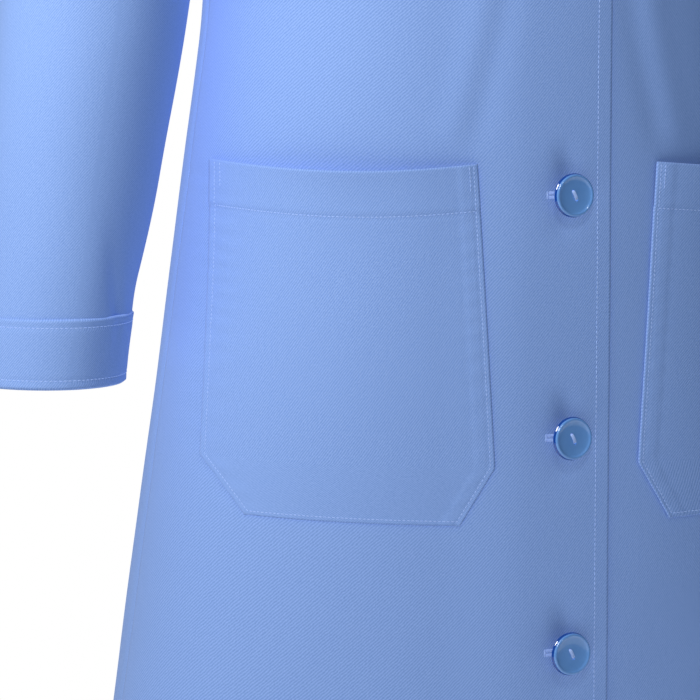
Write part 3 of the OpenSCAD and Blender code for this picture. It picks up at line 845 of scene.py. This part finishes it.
def thread_points(shank):
    """Sewing thread: strands from hole to hole over the top, and a wound shank below."""
    parts = []
    half = HOLE_PITCH / 2
    for dx, rise in ((-0.62, 0.25), (-0.22, 0.45), (0.2, 0.5), (0.6, 0.3)):
        path = [(dx * 0.6, -half, -0.5), (dx * 0.7, -half, BUTTON_TOP - 0.5),
                (dx, -half + 0.5, BUTTON_TOP + 0.2 + rise * 0.5),
                (dx * 1.1, 0, BUTTON_TOP + 0.3 + rise), (dx, half - 0.5, BUTTON_TOP + 0.2 + rise * 0.5),
                (dx * 0.7, half, BUTTON_TOP - 0.5), (dx * 0.6, half, -0.5)]
        parts.append(tube(smooth_curve(path, 24), 0.27))
    turns = np.linspace(0, 2 * math.pi * 6, 150)
    fall = -0.2 - (shank - 0.5) * turns / turns[-1]
    coil = np.stack([1.05 * np.cos(turns), 1.05 * np.sin(turns), fall], axis=-1)
    parts.append(tube(coil, 0.34))
    base = np.linspace(0.1, -shank, 6)
    parts.append(tube(np.stack([0 * base, 0 * base, base], axis=-1), 0.95, 12))
    points, faces, made = [], [], 0
    for p, f in parts:
        points.append(p)
        faces.append(f + made)
        made += len(p)
    return np.concatenate(points), np.concatenate(faces)


def frame_of(out, twist):
    """Rows are a button's own x, y and z axes, for a button that faces out."""
    out = unit(np.asarray(out, float))
    right = unit(np.cross([0, 0, 1], out))
    up = np.cross(out, right)
    c, d = math.cos(math.radians(twist)), math.sin(math.radians(twist))
    return np.array([right * c + up * d, -right * d + up * c, out])


def place_button(mesh, name, place, out, twist, scale, shank, bodies, nodes):
    axes = frame_of(out, twist)
    own = mesh.copy()
    co = np.empty(len(own.vertices) * 3)
    own.vertices.foreach_get("co", co)
    co = co.reshape(-1, 3) * scale @ axes + np.array(place) * MM
    own.vertices.foreach_set("co", co.ravel())
    own.update()
    button = bpy.data.objects.new(name + "_button", own)
    bpy.context.scene.collection.objects.link(button)
    pts, faces = thread_points(shank / scale)
    thread = mesh_object(name + "_thread", pts * scale @ axes + np.array(place), faces, THREAD)
    for obj, slot_name, node in ((button, "button", nodes[0]), (thread, "thread", nodes[1])):
        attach(obj, bodies)
        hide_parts(node)


# ---------------------------------------------------------------- putting the coat together
def build_body():
    for s in (-1, 1):
        side = SIDES[s]
        front, stitching = front_cloth(s), front_stitching(s)
        band = ["front_band_right"] if s < 0 else []
        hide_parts("front_%s_upper" % side, "front_" + side, *band)
        declare(front)
        pocket, seams = pocket_cloth(s), pocket_stitching(s)
        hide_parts("pocket_" + side)
        declare(pocket)
        lapel = lapel_cloth(s)
        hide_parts("lapel_" + side)
        declare(lapel)
        for obj in (front, stitching, pocket, seams, lapel):
            front_blend(obj)
        back, hem = back_cloth(s), back_stitching(s)
        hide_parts("back_" + side)
        declare(back)
        for obj in (back, hem):
            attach(obj, "root")


def build_neck():
    collar = collar_cloth()
    facing = inside_patch("back_neck_facing_cloth", 72, -23, -82, -2.4, 1.2)
    label = inside_patch("size_label_tape", 22, -34, -60, -5.0, 0.5, LABEL)
    tape = hanger_loop_tape()
    for obj, node, held in ((collar, "collar", "folded"), (facing, "back_neck_facing", "hung"),
                            (label, "size_label", "hung"), (tape, "hanger_loop", "folded")):
        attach(obj, "root")
        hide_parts(node)
        if obj is not tape:
            declare(obj)


def build_sleeves(mesh):
    for s in (-1, 1):
        side = SIDES[s]
        cap, arm, cuff = cap_cloth(s), arm_cloth(s), cuff_cloth(s)
        seams, flap = cuff_stitching(s), flap_cloth(s)
        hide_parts("sleeve_cap_" + side)
        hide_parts("upper_sleeve_" + side, "lower_sleeve_" + side)
        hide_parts("cuff_" + side)
        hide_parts("cuff_flap_" + side)
        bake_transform(cap)
        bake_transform(arm)
        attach(cuff, side + "_lower_sleeve")
        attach(seams, side + "_lower_sleeve")
        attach(flap, side + "_cuff_flap")
        declare(cuff)
        for obj in (cap, arm):
            declare(obj)
        declare(flap)
        t = CUFF_BUTTON_TURN
        place = sleeve_plain(s, np.array([t]), np.array([FLAP_Z]), 4.6)[0]
        out = (s * math.sin(math.radians(t)) / 45, -math.cos(math.radians(t)) / 49, 0)
        place_button(mesh, "cuff_" + side, place, out, 0, 0.65, 3.2, side + "_cuff_button",
                     ("cuff_button_" + side, "cuff_thread_" + side))


BUTTON_TILTS = [14, 16, 12, 13, 12]


def build_buttons(mesh):
    for i, (z, tilt) in enumerate(zip(BUTTON_LEVELS, BUTTON_TILTS), 1):
        t = math.radians(tilt)
        place = (0, MID_Y - FRONT_DEPTH_FULL - FRONT_LIFT - 1.2 - 1.4, z)
        place_button(mesh, "front_%d" % i, place, (math.sin(t), -math.cos(t), 0), 24, 1.0, 4.8,
                     "button_%d" % i, ("front_button_%d" % i, "front_thread_%d" % i))


# ---------------------------------------------------------------- light, floor and camera
def aim(obj, target):
    obj.rotation_euler = (Vector(target) - obj.location).to_track_quat("-Z", "Y").to_euler()


def area_light(name, place, target, size, power, colour=(1, 1, 1)):
    data = bpy.data.lights.new(name, "AREA")
    data.shape, data.size, data.energy, data.color = "DISK", size, power, colour
    obj = bpy.data.objects.new(name, data)
    obj.location = place
    bpy.context.scene.collection.objects.link(obj)
    aim(obj, target)
    return obj


def build_floor():
    bpy.ops.mesh.primitive_circle_add(vertices=96, radius=1.6, fill_type="NGON", location=(0, -0.06, -1.2))
    floor = bpy.context.object
    floor.name = "floor"
    pale = plain_material("floor", (0.86, 0.86, 0.87), (0.90, 0.90, 0.90), 3.0, 0.7)
    shader = pale.node_tree.nodes["Principled BSDF"]
    shader.inputs["Emission Color"].default_value = (1, 1, 1, 1)
    shader.inputs["Emission Strength"].default_value = 0.45
    floor.data.materials.append(pale)


AMBIENT = 0.2


def build_world():
    world = bpy.data.worlds.new("studio")
    bpy.context.scene.world = world
    world.use_nodes = True
    tree = world.node_tree
    for node in list(tree.nodes):
        tree.nodes.remove(node)
    out = tree.nodes.new("ShaderNodeOutputWorld")
    seen, glow = tree.nodes.new("ShaderNodeBackground"), tree.nodes.new("ShaderNodeBackground")
    seen.inputs["Color"].default_value = (1, 1, 1, 1)
    seen.inputs["Strength"].default_value = 1.0
    glow.inputs["Color"].default_value = (0.60, 0.80, 1.0, 1)
    glow.inputs["Strength"].default_value = AMBIENT
    ray, mix = tree.nodes.new("ShaderNodeLightPath"), tree.nodes.new("ShaderNodeMixShader")
    tree.links.new(ray.outputs["Is Camera Ray"], mix.inputs[0])
    tree.links.new(glow.outputs[0], mix.inputs[1])
    tree.links.new(seen.outputs[0], mix.inputs[2])
    tree.links.new(mix.outputs[0], out.inputs["Surface"])
    bpy.context.scene.view_settings.view_transform = "Standard"


TARGET = np.array([-0.1112, -0.1773, -0.6107])


def seen_from(azimuth, elevation, distance):
    a, e = math.radians(azimuth), math.radians(elevation)
    way = np.array([math.sin(a) * math.cos(e), -math.cos(a) * math.cos(e), math.sin(e)])
    return tuple(TARGET + way * distance)


def build_camera():
    data = bpy.data.cameras.new("camera")
    data.sensor_width, data.lens = 36.0, 177.7
    camera = bpy.data.objects.new("camera", data)
    camera.location = seen_from(-15, 6, 1.8)
    bpy.context.scene.collection.objects.link(camera)
    aim(camera, TARGET)
    bpy.context.scene.camera = camera


build_body()
build_neck()
button_mesh = drilled_button()
build_sleeves(button_mesh)
build_buttons(button_mesh)
build_floor()
build_world()
shaping = area_light("shaping", seen_from(-64, 40, 1.15), TARGET, 0.5, 11.2)
shaping.data.use_shadow = False
area_light("key", seen_from(-11, 46, 1.4), TARGET, 0.25, 2.4)
build_camera()
